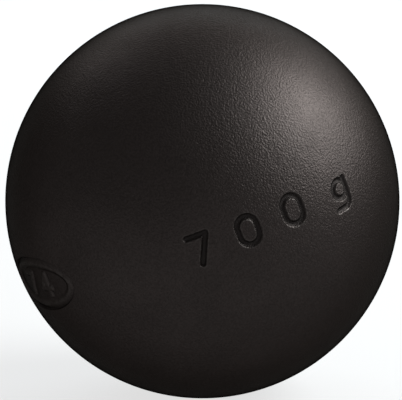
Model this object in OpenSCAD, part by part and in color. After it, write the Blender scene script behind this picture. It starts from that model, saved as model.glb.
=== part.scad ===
// Competition petanque boule: a hollow steel ball made of two half-shells.
// The halves are centred by a turned lip, butted, and joined by a weld that fills
// a V-shaped groove all the way round and is ground flush with the ball.
// The ball's centre is the origin, +Z is up, and the weld lies in the XZ plane.
// The marked half faces -Y, and the plain half, which carries the lip, faces +Y.

/* [Ball] */
// Outside diameter of the finished ball
ball_d = 74; // [70.5:0.5:80]
// Thickness of the steel wall, which sets the weight
wall = 6.17; // [5.5:0.01:8]

/* [Weld] */
// Depth of the weld groove below the outside of the ball
groove_depth = 3.6; // [3:0.1:4]
// Angle between the groove's two walls
groove_angle = 60; // [50:5:70]
// Width of the flat at the bottom of the groove
groove_root_w = 0.8; // [0.4:0.1:1.2]
// Height of the butted faces under the groove
land_h = 1; // [0.6:0.1:1.4]

/* [Centring lip] */
// Length of the lip past the weld plane
lip_len = 2.5; // [1.5:0.1:4]
// Radial clearance between the lip and its seat
lip_fit = 0.05; // [0.02:0.01:0.1]
// Gap left past the end of the lip
lip_end_gap = 0.3; // [0.1:0.1:0.6]
// Chamfer on the leading edge of the lip
lip_chamfer = 0.3; // [0.1:0.1:0.5]

/* [Engraved line] */
// Slope of the great circle that the marks follow, seen from the front
mark_slope = 20.9; // [0:0.1:45]
// Distance over the surface from the front pole to the middle of the line
line_mid = 14.4; // [0:0.1:16]
// Distance over the surface from one figure to the next
figure_pitch = 9.2; // [6:0.1:10]
// Height of a figure
figure_h = 6.3; // [4:0.1:8]
// Width of a figure
figure_w = 4.7; // [3:0.1:5.5]
// Width of the engraved stroke
figure_stroke = 1.05; // [0.6:0.05:1.3]
// Depth of the engraving
figure_depth = 0.45; // [0.2:0.05:0.8]
// Height of the unit letter's bowl
bowl_h = 4.3; // [3.6:0.1:4.6]
// Radius of the turn from the unit letter's stem into its tail
tail_turn = 1.4; // [1.2:0.1:1.6]

/* [Stamped field] */
// Distance over the surface from the front pole to the middle of the field
field_mid = 39.8; // [36:0.1:41]
// Length of the field along the line of marks
field_len = 23.8; // [20:0.1:25]
// Width of the field
field_w = 10.8; // [9:0.1:13]
// Depth of the field's floor
field_depth = 0.5; // [0.3:0.05:0.8]
// Width of the border round the floor
border_w = 2.1; // [1.5:0.1:2.6]
// Depth of the border and of the raised figures' tops
border_depth = 0.2; // [0.1:0.05:0.25]
// Distance between the middles of the raised figures
raised_pitch = 6.2; // [5:0.1:8]
// Height of a raised figure
raised_h = 5.2; // [4:0.1:6]
// Width of a raised figure
raised_w = 4.2; // [3:0.1:5]
// Width of a raised stroke
raised_stroke = 1.1; // [0.6:0.05:1.3]

/* [Hidden] */

// How far a cutting shape runs past what it cuts
overrun = 1;

blackened_steel = [0.11, 0.105, 0.1];
weld_steel = [0.16, 0.155, 0.15];

ball_r = ball_d / 2;
cavity_r = ball_r - wall;
groove_root_r = ball_r - groove_depth;
seat_r = groove_root_r - land_h;
lip_r = seat_r - lip_fit;
// The chamfer takes no more than half of the lip's thickness
lip_edge = min(lip_chamfer, (lip_r - cavity_r) / 2);

// Shapes of the figures, in shares of the width and height between stroke middles
seven_shares = [[-0.5, 0.5], [0.5, 0.5], [-0.15, -0.5]];
four_shares = [[0.18, -0.5], [0.18, 0.5], [-0.5, -0.18], [0.5, -0.18]];
// Places of the line's four characters, in shares of figure_pitch
line_shares = [-1.6, -0.6, 0.4, 1.6];

$fn = 96;

// The angle that a distance over the ball's surface spans
function arc(distance) = distance / ball_r * 180 / PI;

// One straight stroke with round ends
module stroke(start, end, width) {
    run = end - start;
    translate(start) rotate(atan2(run[1], run[0])) {
        translate([0, -width / 2]) square([norm(run), width]);
        circle(d = width);
        translate([norm(run), 0]) circle(d = width);
    }
}

// Strokes from point to point, the points being shares of a figure's size
module strokes(shares, w, h, width) {
    points = [for (p = shares) [p[0] * (w - width), p[1] * (h - width)]];
    for (i = [1:len(points) - 1]) stroke(points[i - 1], points[i], width);
}

// A slot-shaped outline lying along Y
module upright_slot(w, h) {
    square([w, h - w], center = true);
    for (side = [-1, 1]) translate([0, side * (h - w) / 2]) circle(d = w);
}

module seven(w, h, width) {
    strokes(seven_shares, w, h, width);
}

module four(w, h, width) {
    strokes(four_shares, w, h, width);
}

module zero(w, h, width) {
    difference() {
        upright_slot(w, h);
        upright_slot(w - 2 * width, h - 2 * width);
    }
}

module ring(d, width) {
    difference() {
        circle(d = d);
        circle(d = d - 2 * width);
    }
}

// The gram sign: a round bowl on the base line, a stem on its right, and a tail below
module gram(h, bowl, turn, width) {
    base_y = -h / 2;
    bowl_y = base_y + bowl / 2;
    stem_x = (bowl - width) / 2;
    translate([0, bowl_y]) ring(bowl, width);
    stroke([stem_x, bowl_y + stem_x], [stem_x, base_y], width);
    translate([stem_x - turn, base_y]) intersection() {
        ring(2 * turn + width, width);
        translate([0, -bowl]) square(bowl);
    }
    stroke([stem_x - turn, base_y - turn], [-stem_x, base_y - turn], width);
}

// Puts a flat shape on the great circle of the marks, as a prism through the wall
module on_mark_circle(distance) {
    rotate([0, -mark_slope, 0])
        rotate([0, 0, arc(distance)])
            rotate([90, 0, 0])
                translate([0, 0, cavity_r])
                    linear_extrude(height = wall + overrun) children();
}

// The figures of the weight, 700 g, sunk to an even depth
module engraved_line() {
    difference() {
        union() {
            on_mark_circle(line_mid + line_shares[0] * figure_pitch)
                seven(figure_w, figure_h, figure_stroke);
            for (i = [1, 2])
                on_mark_circle(line_mid + line_shares[i] * figure_pitch)
                    zero(figure_w, figure_h, figure_stroke);
            on_mark_circle(line_mid + line_shares[3] * figure_pitch)
                gram(figure_h, bowl_h, tail_turn, figure_stroke);
        }
        sphere(r = ball_r - figure_depth);
    }
}

// An oval prism at the stamped field, down to a depth below the ball's outside
module sunk_oval(length, width, depth) {
    difference() {
        on_mark_circle(-field_mid) difference() {
            scale([length / width, 1]) circle(d = width);
            children();
        }
        sphere(r = ball_r - depth);
    }
}

// The stamped field: a border all round, and a deeper floor in it, from which the figures
// of the diameter, 74, rise to the border's height
module stamped_field() {
    sunk_oval(field_len, field_w, border_depth);
    sunk_oval(field_len - 2 * border_w, field_w - 2 * border_w, field_depth) {
        translate([-raised_pitch / 2, 0]) seven(raised_w, raised_h, raised_stroke);
        translate([raised_pitch / 2, 0]) four(raised_w, raised_h, raised_stroke);
    }
}

// Section of the weld groove, with the ball's radius along X and the weld axis along Y
module groove_section() {
    root = groove_root_w / 2;
    rise = groove_depth + overrun;
    mouth = root + rise * tan(groove_angle / 2);
    polygon([
        [groove_root_r, -root],
        [groove_root_r + rise, -mouth],
        [groove_root_r + rise, mouth],
        [groove_root_r, root]
    ]);
}

// Section of one half of the wall, on the +Y side of the weld plane
module wall_section() {
    difference() {
        intersection() {
            circle(r = ball_r);
            square([ball_r, ball_r]);
        }
        circle(r = cavity_r);
        groove_section();
    }
}

// Section of the centring lip, which reaches past the weld plane
module lip_section() {
    difference() {
        polygon([
            [0, -overrun],
            [lip_r, -overrun],
            [lip_r, lip_len - lip_edge],
            [lip_r - lip_edge, lip_len],
            [0, lip_len]
        ]);
        circle(r = cavity_r);
    }
}

module marked_half_shell() {
    color(blackened_steel) difference() {
        rotate([90, 0, 0]) rotate_extrude() difference() {
            wall_section();
            translate([0, -overrun]) square([seat_r, lip_len + lip_end_gap + overrun]);
        }
        engraved_line();
        stamped_field();
    }
}

module plain_half_shell() {
    color(blackened_steel) rotate([90, 0, 0]) rotate_extrude() {
        mirror([0, 1]) wall_section();
        lip_section();
    }
}

module weld_bead() {
    color(weld_steel) rotate([90, 0, 0]) rotate_extrude() intersection() {
        groove_section();
        circle(r = ball_r);
    }
}

marked_half_shell();
plain_half_shell();
weld_bead();
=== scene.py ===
import math

import bmesh
import bpy
import numpy as np
from mathutils import Matrix, Vector


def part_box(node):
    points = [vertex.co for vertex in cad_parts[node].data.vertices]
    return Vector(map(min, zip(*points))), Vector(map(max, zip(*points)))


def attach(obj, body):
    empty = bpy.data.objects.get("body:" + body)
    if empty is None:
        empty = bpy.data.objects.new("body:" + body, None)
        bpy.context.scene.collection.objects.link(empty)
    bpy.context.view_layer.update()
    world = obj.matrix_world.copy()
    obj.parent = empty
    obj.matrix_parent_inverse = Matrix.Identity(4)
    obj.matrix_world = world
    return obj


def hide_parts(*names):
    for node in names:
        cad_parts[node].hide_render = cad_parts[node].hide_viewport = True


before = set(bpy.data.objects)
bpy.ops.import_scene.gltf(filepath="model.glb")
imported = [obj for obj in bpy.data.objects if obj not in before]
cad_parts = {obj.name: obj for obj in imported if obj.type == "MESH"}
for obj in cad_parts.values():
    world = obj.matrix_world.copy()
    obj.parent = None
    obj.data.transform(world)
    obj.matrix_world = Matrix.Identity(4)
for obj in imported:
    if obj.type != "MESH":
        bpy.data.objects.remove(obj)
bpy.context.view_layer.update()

# The ball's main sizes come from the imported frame, in metres. Its centre is the origin,
# the weld lies in the XZ plane, and the marked half faces -Y.
ballRadius = -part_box("marked_half_shell")[0].y
lipLength = -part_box("plain_half_shell")[0].y
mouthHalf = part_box("weld_bead")[1].y
mouthRadius = math.sqrt(ballRadius ** 2 - mouthHalf ** 2)
print(f"frame: ball radius {ballRadius:.4f}, weld {2 * mouthHalf:.4f} wide, lip {lipLength:.4f}")

# The turned and welded joint that all three pieces share
joint = {
    "cavityRadius": 0.03083,   # inside of the wall
    "rootRadius": 0.0334,      # bottom of the weld groove
    "rootHalf": 0.0004,
    "seatRadius": 0.0324,
    "lipFit": 0.00005,
    "lipEndGap": 0.0003,
    "lipChamfer": 0.0003,
    "rows": 60,                # rows of triangles from a dome's pole to its rim, an even number
    "weldGap": 1e-6,           # vertices closer than this are one
}
domeSides = 6                  # a dome is a hexagon fan, subdivided
rimSegments = domeSides * joint["rows"]

# Where each face belongs on a piece, which is also its material's place
skinFace = 0
turnedFace = 1
insideFace = 2


def makeDome(radius, rimAngle, side, place):
    # Even triangles about Y: a hexagon fan, subdivided, whose rows become circles of latitude
    dome = bmesh.new()
    bmesh.ops.create_circle(dome, cap_ends=True, cap_tris=True, segments=domeSides, radius=1)
    bmesh.ops.subdivide_edges(dome, edges=dome.edges, cuts=joint["rows"] - 1, use_grid_fill=True)
    flat = np.array([vert.co[:2] for vert in dome.verts])
    wedge = 2 * math.pi / domeSides
    turns = wedge * np.arange(domeSides)
    out = flat @ np.array([np.cos(turns), np.sin(turns)]) / math.cos(wedge / 2)
    nearest = turns[out.argmax(axis=1)]
    row = out.max(axis=1)
    along = flat[:, 1] * np.cos(nearest) - flat[:, 0] * np.sin(nearest)
    azimuth = nearest + wedge * along / np.maximum(row, joint["weldGap"])
    polar = row * rimAngle
    around = np.sin(polar)
    spots = np.stack([around * np.cos(azimuth), side * np.cos(polar), around * np.sin(azimuth)], axis=1)
    for vert, spot in zip(dome.verts, radius * spots):
        vert.co = spot
    for face in dome.faces:
        face.material_index = place
    return dome


def joinInto(bm, part):
    carrier = bpy.data.meshes.new("carrier")
    part.to_mesh(carrier)
    part.free()
    bm.from_mesh(carrier)
    bpy.data.meshes.remove(carrier)


def spinSection(bm, section, closed, place):
    # Turns a section of (radius, y) points round the weld's axis
    oldFaces = set(bm.faces)
    verts = [bm.verts.new((radius, y, 0)) for radius, y in section]
    edges = [bm.edges.new(pair) for pair in zip(verts, verts[1:])]
    if closed:
        edges.append(bm.edges.new((verts[-1], verts[0])))
    bmesh.ops.spin(bm, geom=verts + edges, cent=(0, 0, 0), axis=(0, 1, 0), dvec=(0, 0, 0),
                   angle=2 * math.pi, steps=rimSegments, use_merge=True)
    made = [face for face in bm.faces if face not in oldFaces]
    for face in made:
        face.material_index = place
    return made


def insideRadius(y):
    return math.sqrt(joint["cavityRadius"] ** 2 - y ** 2)


# The engraved line: figures of the weight, on a great circle that climbs to the right
engraving = {
    "slope": math.radians(20.9),
    "lineMid": 0.0144,          # along the surface from the front pole
    "pitch": 0.0092,
    "placeShares": (-1.6, -0.6, 0.4, 1.6),
    "height": 0.0063,
    "width": 0.0047,
    "stroke": 0.00105,
    "depth": 0.00045,
    "bowl": 0.0043,             # the unit letter's round part
    "tailTurn": 0.0014,
    "rim": 1.3,                 # where the groove's soft lip meets the ball, in half strokes
    "flatness": 3,              # powers that give the groove a flat bottom and a soft lip
    "softness": 2,
    "paintedShadeFrom": 0.3,            # shares of the depth between which painted shade darkens the finish
    "paintedShadeTo": 0.85,
    "wornHalf": 0.00022,        # half the width of the worn line along a stroke's lip
}

# The stamped field: an oval with a rounded border, and a floor in it with the figures of the diameter
stamping = {
    "mid": -0.0398,
    "length": 0.0238,
    "width": 0.0108,
    "depth": 0.0005,            # of the shares below
    "borderSpots": (0, 0.0002, 0.0013, 0.0024),   # inward: edge, foot of its wall, border's crest, floor
    "borderShares": (0, 0.75, 0.1, 0.85),          # shares of the depth there
    "borderGap": 0.0003,        # makes the border's triangles this much coarser than at a wall
    "figureTop": 0.3,           # share of the depth on top of a raised figure
    "footPaintedShade": 0.8,            # how far painted shade darkens the finish at the foot of the edge's wall
    "footHalf": 0.0003,         # half the width of that line of painted shade
    "painted_shade": 0.15,               # how far painted shade darkens the field's floor
    "paintedShadeFrom": 0.45,           # shares of the depth between which it does
    "paintedShadeTo": 0.9,
    "wornHalf": 0.0009,         # half the width of the border's worn crest
    "worn": 0.7,
    "wornFigure": 0.7,
    "pitch": 0.0062,
    "height": 0.0052,
    "figureWidth": 0.0042,
    "stroke": 0.0011,
    "foot": 1.5,                # where a raised figure meets the floor, in half strokes
    "slope": 0.0005,            # width of a raised figure's sides
}

sevenShares = ((-0.5, 0.5), (0.5, 0.5), (-0.15, -0.5))
fourShares = ((0.18, -0.5), (0.18, 0.5), (-0.5, -0.18), (0.5, -0.18))
farAway = 1.0


def flattenAt(points, distance):
    # Points on the ball as seen square on from a spot on the great circle of the marks
    there = (Matrix.Rotation(-engraving["slope"], 3, "Y")
             @ Matrix.Rotation(distance / ballRadius, 3, "Z")
             @ Matrix.Rotation(math.pi / 2, 3, "X"))
    local = points @ np.array(there)
    return np.where(local[:, 2:] > 0, local[:, :2], farAway)


def toSegment(flat, start, end):
    start = np.array(start)
    run = np.array(end) - start
    share = np.clip((flat - start) @ run / (run @ run), 0, 1)
    return np.linalg.norm(flat - start - share[:, None] * run, axis=1)


def toStrokes(flat, shares, width, height, stroke):
    size = np.array((width - stroke, height - stroke))
    knots = [np.array(share) * size for share in shares]
    return np.min([toSegment(flat, *pair) for pair in zip(knots, knots[1:])], axis=0)


def toZero(flat, width, height, stroke):
    core = (height - width) / 2
    return abs(toSegment(flat, (0, -core), (0, core)) - (width - stroke) / 2)


def toGram(flat):
    radius = (engraving["bowl"] - engraving["stroke"]) / 2
    turn = engraving["tailTurn"]
    baseY = -engraving["height"] / 2
    bowlY = baseY + engraving["bowl"] / 2
    bowl = abs(np.linalg.norm(flat - (0, bowlY), axis=1) - radius)
    stem = toSegment(flat, (radius, bowlY + radius), (radius, baseY))
    bend = flat - (radius - turn, baseY)
    inBend = (bend[:, 0] > 0) & (bend[:, 1] < 0)
    hook = np.where(inBend, abs(np.linalg.norm(bend, axis=1) - turn), farAway)
    tail = toSegment(flat, (radius - turn, baseY - turn), (-radius, baseY - turn))
    return np.min([bowl, stem, hook, tail], axis=0)


def toEngraving(points):
    # Distance from the middle line of the nearest engraved stroke
    spots = [engraving["lineMid"] + share * engraving["pitch"] for share in engraving["placeShares"]]
    size = (engraving["width"], engraving["height"], engraving["stroke"])
    found = [toStrokes(flattenAt(points, spots[0]), sevenShares, *size),
             toZero(flattenAt(points, spots[1]), *size),
             toZero(flattenAt(points, spots[2]), *size),
             toGram(flattenAt(points, spots[3]))]
    return np.min(found, axis=0)


def toStamping(points):
    # Distance outside the field's outline, and from the middle line of the nearest raised stroke
    flat = flattenAt(points, stamping["mid"])
    halves = np.array((stamping["length"], stamping["width"])) / 2
    reach = np.linalg.norm(flat / halves, axis=1)       # 1 on the oval
    slope = np.linalg.norm(flat / halves ** 2, axis=1)
    outline = reach * (reach - 1) / np.maximum(slope, joint["weldGap"])
    size = (stamping["figureWidth"], stamping["height"], stamping["stroke"])
    apart = np.array((stamping["pitch"] / 2, 0))
    seven = toStrokes(flat + apart, sevenShares, *size)
    four = toStrokes(flat - apart, fourShares, *size)
    return outline, np.minimum(seven, four)


def easeStep(share):
    share = np.clip(share, 0, 1)
    return share * share * (3 - 2 * share)


grooveHalf = engraving["rim"] * engraving["stroke"] / 2


def engravedShare(points):
    # 1 along the middle of a stroke, falling to 0 at its rim over a U-shaped section with soft lips
    across = np.clip(toEngraving(points) / grooveHalf, 0, 1)
    return (1 - across ** engraving["flatness"]) ** engraving["softness"]


def stampedForms(points):
    # The depth's share before the figures, and the figures: 1 on top, 0 on the floor
    outline, raised = toStamping(points)
    spots, shares = stamping["borderSpots"], stamping["borderShares"]
    floor = 0
    for near, far, start, end in zip(spots, spots[1:], shares, shares[1:]):
        floor = floor + (end - start) * easeStep((-outline - near) / (far - near))
    return floor, easeStep((stamping["foot"] * stamping["stroke"] / 2 - raised) / stamping["slope"])


def stampedShare(points):
    floor, figure = stampedForms(points)
    return floor - figure * np.maximum(floor - stamping["figureTop"], 0)


def marksDepth(points):
    # How deep the marks are sunk at points on the ball
    return engraving["depth"] * engravedShare(points) + stamping["depth"] * stampedShare(points)


def riseBetween(share, mark):
    return easeStep((share - mark["paintedShadeFrom"]) / (mark["paintedShadeTo"] - mark["paintedShadeFrom"]))


def paintedShadeShare(points):
    # Painted shade: the finish is darkened where shade falls, deep in the strokes, at the foot of the
    # field's edge, and more faintly on its floor
    foot = 1 - abs(toStamping(points)[0] + stamping["borderSpots"][1]) / stamping["footHalf"]
    return np.max([riseBetween(engravedShare(points), engraving), stamping["footPaintedShade"] * easeStep(foot),
                   stamping["painted_shade"] * riseBetween(stampedShare(points), stamping)], axis=0)


def wornShare(points):
    # Where handling wears the finish: the strokes' lips, the border's crest and the raised figures
    lip = 1 - abs(toEngraving(points) - grooveHalf) / engraving["wornHalf"]
    crest = 1 - abs(toStamping(points)[0] + stamping["borderSpots"][2]) / stamping["wornHalf"]
    floor, figure = stampedForms(points)
    return np.max([easeStep(lip), stamping["worn"] * easeStep(crest),
                   stamping["wornFigure"] * floor * figure], axis=0)


# How fine the skin's triangles are at the marks, and how they grow away from them
mesh = {
    "fine": 0.00011,
    "growth": 0.35,             # of the distance from a mark's wall
    "coarse": 0.0012,
    "tooLong": 1.4,             # an edge this many times too long is halved
    "passes": 6,
    "smoothing": 4,
    "smoothShare": 0.5,
    "sharpAngle": math.radians(20),
    "slopeStep": 0.00001,       # for the slope of the marks' surface
}


def wantedEdge(points):
    # How long an edge may be at points on the ball
    outline, raised = toStamping(points)
    groove = toEngraving(points) - grooveHalf
    wall, border = [abs(outline + width / 2) - width / 2 for width in stamping["borderSpots"][1::2]]
    border = np.maximum(border, 0) + stamping["borderGap"]
    figure = np.where(outline < 0, raised - stamping["foot"] * stamping["stroke"] / 2, farAway)
    gap = np.maximum(np.min([groove, wall, border, figure], axis=0), 0)
    return np.minimum(mesh["fine"] + mesh["growth"] * gap, mesh["coarse"])


def onBall(coords):
    return ballRadius * coords / np.linalg.norm(coords, axis=1)[:, None]


def seatOnBall(verts):
    for vert, seated in zip(verts, onBall(np.array([vert.co for vert in verts]))):
        vert.co = seated


def vertsAtMarks(bm):
    free = [vert for vert in bm.verts if not vert.is_boundary]
    near = wantedEdge(np.array([vert.co for vert in free])) < mesh["coarse"]
    return [vert for vert, flag in zip(free, near) if flag]


def tidyTriangles(bm, verts):
    faces = {face for vert in verts for face in vert.link_faces}
    edges = {edge for face in faces for edge in face.edges if not edge.is_boundary}
    bmesh.ops.beautify_fill(bm, faces=list(faces), edges=list(edges), method="ANGLE")


def refineAtMarks(bm):
    # Halves long edges near the marks, keeps the triangles well shaped and spreads them evenly
    for turn in range(mesh["passes"]):
        edges = [edge for edge in bm.edges if not edge.is_boundary]
        ends = np.array([(edge.verts[0].co, edge.verts[1].co) for edge in edges])
        lengths = np.linalg.norm(ends[:, 0] - ends[:, 1], axis=1)
        tooLong = lengths > mesh["tooLong"] * wantedEdge(onBall(ends.mean(axis=1)))
        if not tooLong.any():
            break
        halved = [edge for edge, flag in zip(edges, tooLong) if flag]
        bmesh.ops.subdivide_edges(bm, edges=halved, cuts=1)
        bmesh.ops.triangulate(bm, faces=[face for face in bm.faces if len(face.verts) > 3])
        near = vertsAtMarks(bm)
        seatOnBall(near)
        tidyTriangles(bm, near)
    for turn in range(mesh["smoothing"]):
        bmesh.ops.smooth_vert(bm, verts=near, factor=mesh["smoothShare"],
                              use_axis_x=True, use_axis_y=True, use_axis_z=True)
        seatOnBall(near)
        tidyTriangles(bm, near)
    print(f"skin refined at the marks: {len(bm.faces)} faces")


def sinkMarks(mesh3d):
    # Sinks the skin into the marks, and gives it its true normals and the shares of painted shade and of
    # wear
    count = len(mesh3d.vertices)
    coords = np.zeros(3 * count)
    mesh3d.vertices.foreach_get("co", coords)
    coords = coords.reshape(-1, 3)
    skin = np.linalg.norm(coords, axis=1) > ballRadius - joint["weldGap"]
    outward = coords[skin] / ballRadius
    depth = marksDepth(ballRadius * outward)
    across = np.cross(outward, (0, 0, 1))
    across /= np.maximum(np.linalg.norm(across, axis=1), joint["weldGap"])[:, None]
    up = np.cross(outward, across)
    step = mesh["slopeStep"]
    slopes = [(marksDepth(onBall(ballRadius * outward + step * way))
               - marksDepth(onBall(ballRadius * outward - step * way))) / (2 * step)
              for way in (across, up)]
    sunk = coords.copy()
    sunk[skin] = outward * (ballRadius - depth)[:, None]
    mesh3d.vertices.foreach_set("co", sunk.ravel())
    normals = np.zeros((count, 3))
    tilted = (outward * (1 - depth / ballRadius)[:, None]
              + slopes[0][:, None] * across + slopes[1][:, None] * up)
    normals[skin] = tilted / np.linalg.norm(tilted, axis=1)[:, None]
    # The painted shade share darkens the recesses' colour; the wear share is real wear
    for name, share in (("painted_shade", paintedShadeShare), ("worn", wornShare)):
        values = np.zeros(count, np.float32)
        values[skin] = share(ballRadius * outward)
        mesh3d.attributes.new(name, "FLOAT", "POINT").data.foreach_set("value", values)
    setSkinNormals(mesh3d, normals)


def setSkinNormals(mesh3d, normals):
    # The skin's faces get these normals; a zero leaves the others as they are
    wanted = np.zeros((len(mesh3d.loops), 3))
    for face in mesh3d.polygons:
        if face.material_index == skinFace:
            for loop in face.loop_indices:
                wanted[loop] = normals[mesh3d.loops[loop].vertex_index]
    mesh3d.normals_split_custom_set([tuple(row) for row in wanted])


def buildPiece(name, bm, materials):
    bmesh.ops.remove_doubles(bm, verts=bm.verts, dist=joint["weldGap"])
    bmesh.ops.recalc_face_normals(bm, faces=bm.faces)
    for face in bm.faces:
        face.smooth = True
    for edge in bm.edges:
        if edge.calc_face_angle(0) > mesh["sharpAngle"]:
            edge.smooth = False
    mesh3d = bpy.data.meshes.new(name)
    bm.to_mesh(mesh3d)
    openEdges = sum(1 for edge in bm.edges if len(edge.link_faces) != 2)
    print(f"{name}: {len(bm.faces)} faces, {openEdges} open edges, {bm.calc_volume() * 1e9:.0f} mm3")
    bm.free()
    for material in materials:
        mesh3d.materials.append(material)
    piece = bpy.data.objects.new(name, mesh3d)
    bpy.context.scene.collection.objects.link(piece)
    return piece


def feed(tree, node, **inputs):
    # Links or sets a node's inputs; a name's underscores stand for spaces
    for name, value in inputs.items():
        feedSocket(tree, node.inputs[name.replace("_", " ")], value)


def feedSocket(tree, socket, value):
    if isinstance(value, bpy.types.NodeSocket):
        tree.links.new(value, socket)
    else:
        socket.default_value = value


def addNode(tree, kind, settings=None, **inputs):
    node = tree.nodes.new(kind)
    for name, value in (settings or {}).items():
        setattr(node, name, value)
    feed(tree, node, **inputs)
    return node


def newMaterial(name):
    material = bpy.data.materials.new(name)
    material.use_nodes = True
    shader = material.node_tree.nodes["Principled BSDF"]
    coords = addNode(material.node_tree, "ShaderNodeTexCoord").outputs["Object"]
    return material, material.node_tree, shader, coords


def noiseAt(tree, coords, cell, detail=2.0):
    node = addNode(tree, "ShaderNodeTexNoise", Vector=coords, Scale=1 / cell, Detail=detail)
    return node.outputs["Fac"]


def remap(tree, value, old, new=(0, 1)):
    node = addNode(tree, "ShaderNodeMapRange", Value=value,
                   From_Min=old[0], From_Max=old[1], To_Min=new[0], To_Max=new[1])
    return node.outputs["Result"]


def cloudIn(tree, coords, look):
    noise = noiseAt(tree, coords, look["cloudCell"], look["cloudDetail"])
    return remap(tree, noise, look["cloudRange"])


def combine(tree, operation, first, second):
    node = addNode(tree, "ShaderNodeMath", {"operation": operation})
    feedSocket(tree, node.inputs[0], first)
    feedSocket(tree, node.inputs[1], second)
    return node.outputs[0]


def blendColour(tree, share, first, second):
    # The Mix node has inputs of the same names for each kind of value, so these go by number
    node = addNode(tree, "ShaderNodeMix", {"data_type": "RGBA"}, Factor=share)
    feedSocket(tree, node.inputs[6], first)
    feedSocket(tree, node.inputs[7], second)
    return node.outputs[2]


def blendNumber(tree, share, first, second):
    node = addNode(tree, "ShaderNodeMix", Factor=share)
    feedSocket(tree, node.inputs[2], first)
    feedSocket(tree, node.inputs[3], second)
    return node.outputs[0]


def scaleColour(tree, colour, factor):
    node = addNode(tree, "ShaderNodeVectorMath", {"operation": "SCALE"}, Scale=factor)
    tree.links.new(colour, node.inputs[0])
    return node.outputs[0]


def bumpFrom(tree, height, rise, normal=None):
    node = addNode(tree, "ShaderNodeBump", Height=height, Strength=1.0, Distance=rise)
    if normal:
        feed(tree, node, Normal=normal)
    return node.outputs["Normal"]


# Satin black burnished steel under a thin dark film of oil: the whole outside of the ball
blackFinish = {
    "colour": (0.0294, 0.0249, 0.0239, 1),
    "paler": (0.0326, 0.0275, 0.0264, 1),
    # Painted shade: this darker colour is laid into the marks' recesses and at the foot of the field's
    # wall
    "paintedShadeColour": (0.0215, 0.0188, 0.0182, 1),
    "wornColour": (0.048, 0.043, 0.041, 1),
    "glancingTint": (0.427, 0.428, 0.424, 1),    # how brightly it mirrors at glancing angles
    "filmTint": (0.787, 0.782, 0.776, 1),
    "filmIndex": 1.0,           # so the film has no gloss, and only darkens toward glancing angles
    "roughness": 0.482,
    "roughnessSpread": 0.03,
    "darkRoughness": 0.6,
    "wornRoughness": 0.43,
    "cloudCell": 0.011,
    "cloudDetail": 3.0,
    "cloudRange": (0.3, 0.7),   # part of the noise that is spread over the whole change, here and below
    "grainCell": 0.00034,
    "grainDetail": 1.5,
    "grainRange": (0.35, 0.65),
    "grainRise": 0.000115,
    "grainTone": 0.16,          # how much the grain's tops and pits differ in colour
    "rollCell": 0.0055,
    "rollRise": 0.000025,
    "wearCell": 0.0009,         # size of the patches that the wear breaks into
    "wearRange": (0.35, 0.6),
    "speckSpacing": 0.009,
    "speckSize": 0.0001,
    "speckEdge": 2,             # where a speck or scuff has faded out, in sizes
    "speckColour": (0.055, 0.051, 0.048, 1),
    "scuffSpacing": 0.013,
    "scuffSize": 0.00009,       # half the width of a scuff
    "scuffStretch": 0.09,       # its width as a share of its length
    "scuffTurn": (0.3, 0.5, 0.9),
}


def blackenedSteel():
    look = blackFinish
    material, tree, shader, coords = newMaterial("blackened_steel_finish")
    cloud = cloudIn(tree, coords, look)
    painted_shade = addNode(tree, "ShaderNodeAttribute", {"attribute_name": "painted_shade"}).outputs["Fac"]
    worn = addNode(tree, "ShaderNodeAttribute", {"attribute_name": "worn"}).outputs["Fac"]
    patches = remap(tree, noiseAt(tree, coords, look["wearCell"]), look["wearRange"])
    worn = combine(tree, "MULTIPLY", worn, patches)
    dots = addNode(tree, "ShaderNodeTexVoronoi", Vector=coords, Scale=1 / look["speckSpacing"])
    size = look["speckSize"] / look["speckSpacing"]
    speck = remap(tree, dots.outputs["Distance"], (size, look["speckEdge"] * size), (1, 0))
    lying = addNode(tree, "ShaderNodeMapping", {"vector_type": "TEXTURE"}, Vector=coords,
                    Rotation=look["scuffTurn"], Scale=(1 / look["scuffStretch"], 1, 1))
    dashes = addNode(tree, "ShaderNodeTexVoronoi", Vector=lying.outputs["Vector"],
                     Scale=1 / look["scuffSpacing"])
    size = look["scuffSize"] / look["scuffSpacing"]
    scuff = remap(tree, dashes.outputs["Distance"], (size, look["speckEdge"] * size), (1, 0))
    speck = combine(tree, "MAXIMUM", speck, scuff)
    grain = noiseAt(tree, coords, look["grainCell"], look["grainDetail"])
    tone = remap(tree, grain, look["grainRange"], (1 - look["grainTone"], 1 + look["grainTone"]))
    skin = scaleColour(tree, blendColour(tree, cloud, look["colour"], look["paler"]), tone)
    skin = blendColour(tree, speck, skin, look["speckColour"])
    skin = blendColour(tree, worn, skin, look["wornColour"])
    # Painted shade: the skin's colour is darkened in the marks' recesses
    skin = blendColour(tree, painted_shade, skin, look["paintedShadeColour"])
    spread = look["roughnessSpread"]
    rough = remap(tree, cloud, (0, 1), (look["roughness"] + spread, look["roughness"] - spread))
    rough = blendNumber(tree, worn, rough, look["wornRoughness"])
    # The same mask also makes the recesses rougher, which is a real change of finish
    rough = blendNumber(tree, painted_shade, rough, look["darkRoughness"])
    roll = bumpFrom(tree, noiseAt(tree, coords, look["rollCell"]), look["rollRise"])
    feed(tree, shader, Base_Color=skin, Roughness=rough, Metallic=1.0,
         Normal=bumpFrom(tree, grain, look["grainRise"], roll), Specular_Tint=look["glancingTint"],
         Coat_Weight=1.0, Coat_Roughness=look["roughness"], Coat_IOR=look["filmIndex"],
         Coat_Tint=look["filmTint"])
    return material


# Bare steel of the turned joint faces, with the tool's fine rings
turnedFinish = {
    "colour": (0.46, 0.45, 0.43, 1),
    "darker": (0.34, 0.33, 0.31, 1),
    "roughness": (0.29, 0.42),  # least and most
    "ringPitch": 0.00018,
    "ringRise": 0.000003,       # half the height of a ring
    "cloudCell": 0.004,
    "cloudDetail": 3.0,
    "cloudRange": (0.3, 0.7),
}


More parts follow.
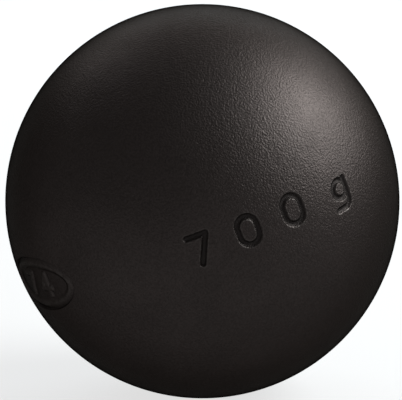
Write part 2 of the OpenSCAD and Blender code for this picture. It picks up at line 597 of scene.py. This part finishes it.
def turnedSteel():
    look = turnedFinish
    material, tree, shader, coords = newMaterial("turned_steel_finish")
    flattened = addNode(tree, "ShaderNodeVectorMath", {"operation": "MULTIPLY"})
    feedSocket(tree, flattened.inputs[0], coords)
    feedSocket(tree, flattened.inputs[1], (1, 0, 1))
    radial = addNode(tree, "ShaderNodeVectorMath", {"operation": "LENGTH"}, Vector=flattened.outputs[0])
    axial = addNode(tree, "ShaderNodeSeparateXYZ", Vector=coords).outputs["Y"]
    travel = combine(tree, "ADD", radial.outputs["Value"], axial)
    rings = combine(tree, "SINE", combine(tree, "MULTIPLY", travel, 2 * math.pi / look["ringPitch"]), 0)
    cloud = noiseAt(tree, coords, look["cloudCell"], look["cloudDetail"])
    feed(tree, shader, Base_Color=blendColour(tree, cloud, look["colour"], look["darker"]),
         Roughness=remap(tree, cloud, look["cloudRange"], look["roughness"]), Metallic=1.0,
         Normal=bumpFrom(tree, rings, look["ringRise"]))
    return material


# Blue-grey forging scale inside the hollow
scaleFinish = {
    "colour": (0.075, 0.078, 0.085, 1),
    "rusty": (0.11, 0.075, 0.055, 1),
    "roughness": (0.62, 0.82),
    "metal": 0.6,               # share that is bare metal
    "cloudCell": 0.006,
    "cloudDetail": 5.0,
    "cloudRange": (0.45, 0.7),
    "pitCell": 0.0009,
    "pitDetail": 4.0,
    "pitRange": (0.3, 0.7),
    "pitRise": 0.00004,
}


def forgedScale():
    look = scaleFinish
    material, tree, shader, coords = newMaterial("forged_scale_finish")
    cloud = cloudIn(tree, coords, look)
    pits = noiseAt(tree, coords, look["pitCell"], look["pitDetail"])
    feed(tree, shader, Base_Color=blendColour(tree, cloud, look["colour"], look["rusty"]),
         Roughness=remap(tree, pits, look["pitRange"], look["roughness"]), Metallic=look["metal"],
         Normal=bumpFrom(tree, pits, look["pitRise"]))
    return material


# Weld metal where it fills the groove, with the faint rings of its runs
weldFinish = {
    "colour": (0.30, 0.29, 0.27, 1),
    "tempered": (0.19, 0.15, 0.12, 1),
    "roughness": (0.42, 0.57),
    "cloudCell": 0.0022,
    "cloudDetail": 4.0,
    "cloudRange": (0.35, 0.65),
    "rippleCell": 0.0011,
    "rippleRise": 0.00003,
}


def weldMetal():
    look = weldFinish
    material, tree, shader, coords = newMaterial("weld_metal_finish")
    cloud = cloudIn(tree, coords, look)
    ripple = noiseAt(tree, coords, look["rippleCell"])
    feed(tree, shader, Base_Color=blendColour(tree, cloud, look["colour"], look["tempered"]),
         Roughness=remap(tree, cloud, (0, 1), look["roughness"]), Metallic=1.0,
         Normal=bumpFrom(tree, ripple, look["rippleRise"]))
    return material


blackened = blackenedSteel()
turned = turnedSteel()
scale = forgedScale()
weld = weldMetal()
print("finishes made")

mouthAngle = math.acos(mouthHalf / ballRadius)

# The marked half-shell: its seat takes the other half's lip
seatDepth = lipLength + joint["lipEndGap"]
markedSection = [
    (mouthRadius, -mouthHalf),
    (joint["rootRadius"], -joint["rootHalf"]),
    (joint["rootRadius"], 0),
    (joint["seatRadius"], 0),
    (joint["seatRadius"], -seatDepth),
    (insideRadius(seatDepth), -seatDepth),
]
bm = makeDome(ballRadius, mouthAngle, -1, skinFace)
refineAtMarks(bm)
spinSection(bm, markedSection, False, turnedFace)
seatAngle = math.acos(seatDepth / joint["cavityRadius"])
joinInto(bm, makeDome(joint["cavityRadius"], seatAngle, -1, insideFace))
markedShell = buildPiece("marked_shell", bm, (blackened, turned, scale))
sinkMarks(markedShell.data)

# The plain half-shell, with the turned lip that centres the two
lipRadius = joint["seatRadius"] - joint["lipFit"]
plainSection = [
    (mouthRadius, mouthHalf),
    (joint["rootRadius"], joint["rootHalf"]),
    (joint["rootRadius"], 0),
    (lipRadius, 0),
    (lipRadius, joint["lipChamfer"] - lipLength),
    (lipRadius - joint["lipChamfer"], -lipLength),
    (insideRadius(lipLength), -lipLength),
]
bm = makeDome(ballRadius, mouthAngle, 1, skinFace)
spinSection(bm, plainSection, False, turnedFace)
lipAngle = math.acos(-lipLength / joint["cavityRadius"])
joinInto(bm, makeDome(joint["cavityRadius"], lipAngle, 1, insideFace))
plainShell = buildPiece("plain_shell", bm, (blackened, turned, scale))
sinkMarks(plainShell.data)

# The weld bead: its outside is ground flush with the ball and blackened with it
bead = {"outsideSteps": 6}
bm = bmesh.new()
beadAngles = [math.asin(mouthHalf / ballRadius) * (2 * step / bead["outsideSteps"] - 1)
              for step in range(bead["outsideSteps"] + 1)]
beadSection = [(ballRadius * math.cos(angle), ballRadius * math.sin(angle)) for angle in beadAngles]
beadSection += [(joint["rootRadius"], joint["rootHalf"]), (joint["rootRadius"], -joint["rootHalf"])]
made = spinSection(bm, beadSection, True, turnedFace)
for face in made:
    if all(vert.co.length > ballRadius - joint["weldGap"] for vert in face.verts):
        face.material_index = skinFace
weldBead = buildPiece("bead", bm, (blackened, weld))
sinkMarks(weldBead.data)

for piece, node, slot in ((markedShell, "marked_half_shell", "blackened_steel"),
                          (plainShell, "plain_half_shell", "blackened_steel"),
                          (weldBead, "weld_bead", "weld_metal")):
    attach(piece, "root")
    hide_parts(node)
print("pieces made")

# The floor is pale: where it is seen, most of its white is its own glow, and the rest keeps the shadow
floorLook = {
    "radius": 3.0,
    "segments": 96,
    "colour": (0.8, 0.8, 0.8, 1),
    "glow": 0.8,
    "glowShare": 0.9,
}
bm = bmesh.new()
bmesh.ops.create_circle(bm, cap_ends=True, segments=floorLook["segments"], radius=floorLook["radius"])
bmesh.ops.translate(bm, verts=bm.verts, vec=(0, 0, -ballRadius))
floorMesh = bpy.data.meshes.new("floor")
bm.to_mesh(floorMesh)
bm.free()
floor = bpy.data.objects.new("floor", floorMesh)
bpy.context.scene.collection.objects.link(floor)

paleFloor = bpy.data.materials.new("pale_floor")
paleFloor.use_nodes = True
tree = paleFloor.node_tree
tree.nodes.clear()
matte = addNode(tree, "ShaderNodeBsdfDiffuse", Color=floorLook["colour"]).outputs[0]
glow = addNode(tree, "ShaderNodeEmission", Strength=floorLook["glow"]).outputs[0]
path = addNode(tree, "ShaderNodeLightPath").outputs
seen = combine(tree, "MAXIMUM", combine(tree, "MAXIMUM", path["Is Camera Ray"], path["Is Glossy Ray"]),
               path["Is Transmission Ray"])
share = combine(tree, "MULTIPLY", seen, floorLook["glowShare"])
lit = addNode(tree, "ShaderNodeMixShader", Fac=share)
tree.links.new(matte, lit.inputs[1])
tree.links.new(glow, lit.inputs[2])
below = addNode(tree, "ShaderNodeNewGeometry").outputs["Backfacing"]
openBelow = addNode(tree, "ShaderNodeMixShader", Fac=below)
tree.links.new(lit.outputs[0], openBelow.inputs[1])
tree.links.new(addNode(tree, "ShaderNodeBsdfTransparent").outputs[0], openBelow.inputs[2])
tree.links.new(openBelow.outputs[0], addNode(tree, "ShaderNodeOutputMaterial").inputs["Surface"])
floorMesh.materials.append(paleFloor)

# The studio: a pale haze at the horizon under a dim room, one soft key, and a wide soft light
# above and behind the ball
studio = {
    "haze": 0.76,               # as bright as the far floor, so that the horizon has no edge
    "room": 0.476,
    "roomFrom": 0.15,           # height on the unit sphere of directions
    "lampDistance": 0.6,
    "keyWay": (0.776, 0.099, 0.623),
    "keySize": (0.564, 0.364),
    "keyTwist": 0.577,
    "keyGlow": 25.2,
    "keyColour": (0.941, 0.996, 1.0),
    "backWay": (-0.007, 0.846, 0.533),
    "backSize": (1.134, 0.353),
    "backTwist": 0.195,
    "backGlow": 9.2,
    "backColour": (0.82, 0.93, 1.0),
}
world = bpy.data.worlds.new("studio")
bpy.context.scene.world = world
world.use_nodes = True
tree = world.node_tree
height = addNode(tree, "ShaderNodeSeparateXYZ",
                 Vector=addNode(tree, "ShaderNodeTexCoord").outputs["Generated"]).outputs["Z"]
fade = addNode(tree, "ShaderNodeMapRange", {"interpolation_type": "SMOOTHSTEP"}, Value=height,
               From_Max=studio["roomFrom"], To_Min=studio["haze"], To_Max=studio["room"])
feed(tree, tree.nodes["Background"], Color=(1, 1, 1, 1), Strength=fade.outputs["Result"])


def addLamp(name):
    # An oval area lamp that faces the ball; its glow is the radiance of its face
    light = bpy.data.lights.new(name, "AREA")
    light.shape = "ELLIPSE"
    light.size, light.size_y = studio[name + "Size"]
    light.energy = studio[name + "Glow"] * math.pi ** 2 / 4 * light.size * light.size_y
    light.color = studio[name + "Colour"]
    lamp = bpy.data.objects.new(name, light)
    away = Vector(studio[name + "Way"]).normalized()
    lamp.matrix_world = (Matrix.Translation(studio["lampDistance"] * away)
                         @ away.to_track_quat("Z", "Y").to_matrix().to_4x4()
                         @ Matrix.Rotation(studio[name + "Twist"], 4, "Z"))
    lamp.visible_camera = False
    bpy.context.scene.collection.objects.link(lamp)


addLamp("key")
addLamp("back")
print("studio lit")

# The camera stands where the ball's outline and marks fall as in the 402 x 400 photograph
lens = {
    "frameWidth": 402,
    "frameHeight": 400,
    "outlineX": 202.39,         # middle and radius of the ball's outline, in pixels
    "outlineY": 201.20,
    "outlineRadius": 197.2,
    "distance": 0.7,
    "elevation": math.radians(13.3),
    "sensor": 36.0,
    "clipStart": 0.01,
}
focalPixels = lens["outlineRadius"] / math.tan(math.asin(ballRadius / lens["distance"]))
pixelSize = lens["distance"] / focalPixels     # at the ball's centre
rise = lens["elevation"]
right = Vector((1, 0, 0))
up = Vector((0, math.sin(rise), math.cos(rise)))
back = Vector((0, -math.cos(rise), math.sin(rise)))
stand = (back * lens["distance"]
         - right * (lens["outlineX"] - lens["frameWidth"] / 2) * pixelSize
         + up * (lens["outlineY"] - lens["frameHeight"] / 2) * pixelSize)
cameraData = bpy.data.cameras.new("camera")
cameraData.sensor_width = lens["sensor"]
cameraData.lens = focalPixels * lens["sensor"] / lens["frameWidth"]
cameraData.clip_start = lens["clipStart"]
camera = bpy.data.objects.new("camera", cameraData)
camera.matrix_world = Matrix.Translation(stand) @ Matrix((right, up, back)).transposed().to_4x4()
bpy.context.scene.collection.objects.link(camera)
bpy.context.scene.camera = camera
bpy.context.scene.view_settings.view_transform = "Standard"
print("camera placed")
